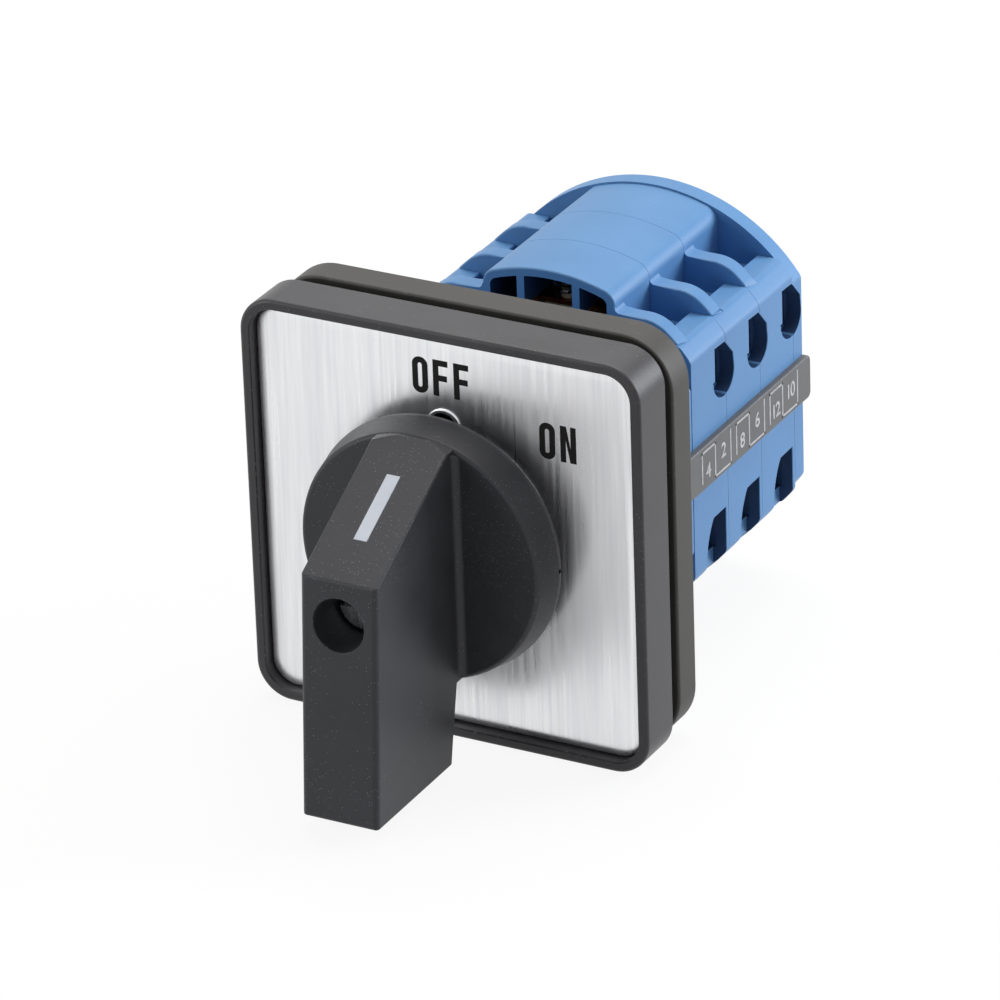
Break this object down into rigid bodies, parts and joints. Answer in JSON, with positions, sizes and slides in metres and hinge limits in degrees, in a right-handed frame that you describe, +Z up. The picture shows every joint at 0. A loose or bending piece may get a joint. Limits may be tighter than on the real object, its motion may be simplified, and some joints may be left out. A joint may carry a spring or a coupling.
{
  "type": "rotary cam changeover switch",
  "caption": "Panel-mounted rotary cam switch with a square legend plate, a grip handle and stacked contact stages behind.",
  "frame": {"origin": "on the shaft's axis, in the plane of the gasket's rear face, where the front of the panel sits", "axes": "+Y along the shaft from the handle to the rear, +Z up, +X to the right seen from the front"},
  "size_m": [0.064, 0.1054, 0.064],
  "materials": {
    "black_plastic": "satin, fine mould texture",
    "white_mark": "matt",
    "legend_plate": "brushed, edges crowned",
    "gasket": "matt",
    "steel": "zinc plated",
    "spring_steel": "drawn wire",
    "zinc_steel": "zinc plated",
    "brass": "plain",
    "blue_plastic": "satin moulded",
    "cam_plastic": "plain moulded",
    "copper": "copper with silver contact buttons",
    "grey_strip": "printed with white wiring symbols"
  },
  "bodies": {
    "frame": {"bezel": "black_plastic", "legend_plate": "legend_plate", "panel_gasket": "gasket", "mounting_plate": "black_plastic", "panel_screws": "steel", "panel_nuts": "brass", "detent_housing": "blue_plastic", "stop_pins": "steel", "detent_spring_top": "spring_steel", "detent_spring_bottom": "spring_steel", "stage_housing_1": "blue_plastic", "stage_housing_2": "blue_plastic", "stage_housing_3": "blue_plastic", "contact_spring_upper_1": "spring_steel", "contact_spring_upper_2": "spring_steel", "contact_spring_upper_3": "spring_steel", "contact_spring_lower_1": "spring_steel", "contact_spring_lower_2": "spring_steel", "contact_spring_lower_3": "spring_steel", "fixed_contacts_1": "copper", "fixed_contacts_2": "copper", "fixed_contacts_3": "copper", "terminal_screws_1": "zinc_steel", "terminal_screws_2": "zinc_steel", "terminal_screws_3": "zinc_steel", "clamp_plates_1": "brass", "clamp_plates_2": "brass", "clamp_plates_3": "brass", "end_plate": "blue_plastic", "tie_bolts": "steel", "tie_nuts": "brass", "marking_strip_left": "grey_strip", "marking_strip_right": "grey_strip"},
    "rotor": {"handle": "black_plastic", "handle_mark": "white_mark", "handle_screw": "steel", "shaft": "steel", "shaft_clip": "steel", "detent_wheel": "cam_plastic", "cam_1": "cam_plastic", "cam_2": "cam_plastic", "cam_3": "cam_plastic"},
    "contacts_upper_1": {"plunger_upper_1": "cam_plastic", "bridge_upper_1": "copper"},
    "contacts_lower_1": {"plunger_lower_1": "cam_plastic", "bridge_lower_1": "copper"},
    "contacts_upper_2": {"plunger_upper_2": "cam_plastic", "bridge_upper_2": "copper"},
    "contacts_lower_2": {"plunger_lower_2": "cam_plastic", "bridge_lower_2": "copper"},
    "contacts_upper_3": {"plunger_upper_3": "cam_plastic", "bridge_upper_3": "copper"},
    "contacts_lower_3": {"plunger_lower_3": "cam_plastic", "bridge_lower_3": "copper"},
    "detent_top": {"detent_plunger_top": "black_plastic", "detent_roller_top": "steel"},
    "detent_bottom": {"detent_plunger_bottom": "black_plastic", "detent_roller_bottom": "steel"}
  },
  "joints": [
    {"name": "handle_turn", "type": "hinge", "parent": "frame", "child": "rotor", "pos_m": [0, 0, 0], "axis": [0, 1, 0], "range_deg": [0, 45]},
    {"name": "contacts_upper_1_close", "type": "slide", "parent": "frame", "child": "contacts_upper_1", "axis": [0, 0, -1], "range_m": [0, 0.00221], "deforming": ["contact_spring_upper_1"]},
    {"name": "contacts_lower_1_close", "type": "slide", "parent": "frame", "child": "contacts_lower_1", "axis": [0, 0, 1], "range_m": [0, 0.00221], "deforming": ["contact_spring_lower_1"]},
    {"name": "contacts_upper_2_close", "type": "slide", "parent": "frame", "child": "contacts_upper_2", "axis": [0, 0, -1], "range_m": [0, 0.00221], "deforming": ["contact_spring_upper_2"]},
    {"name": "contacts_lower_2_close", "type": "slide", "parent": "frame", "child": "contacts_lower_2", "axis": [0, 0, 1], "range_m": [0, 0.00221], "deforming": ["contact_spring_lower_2"]},
    {"name": "contacts_upper_3_close", "type": "slide", "parent": "frame", "child": "contacts_upper_3", "axis": [0, 0, -1], "range_m": [0, 0.00221], "deforming": ["contact_spring_upper_3"]},
    {"name": "contacts_lower_3_close", "type": "slide", "parent": "frame", "child": "contacts_lower_3", "axis": [0, 0, 1], "range_m": [0, 0.00221], "deforming": ["contact_spring_lower_3"]},
    {"name": "detent_top_lift", "type": "slide", "parent": "frame", "child": "detent_top", "axis": [0, 0, 1], "range_m": [0, 0.0009], "stiffness_N_per_m": 40, "springref_m": -0.004, "deforming": ["detent_spring_top"]},
    {"name": "detent_bottom_lift", "type": "slide", "parent": "frame", "child": "detent_bottom", "axis": [0, 0, -1], "range_m": [0, 0.0009], "stiffness_N_per_m": 40, "springref_m": -0.004, "deforming": ["detent_spring_bottom"]}
  ],
  "couplings": [
    {"joint": "contacts_upper_1_close", "follows": "handle_turn", "m_per_rad": 0.0028011},
    {"joint": "contacts_lower_1_close", "follows": "handle_turn", "m_per_rad": 0.0028011},
    {"joint": "contacts_upper_2_close", "follows": "handle_turn", "m_per_rad": 0.0028011},
    {"joint": "contacts_lower_2_close", "follows": "handle_turn", "m_per_rad": 0.0028011},
    {"joint": "contacts_upper_3_close", "follows": "handle_turn", "m_per_rad": 0.0028011},
    {"joint": "contacts_lower_3_close", "follows": "handle_turn", "m_per_rad": 0.0028011}
  ]
}
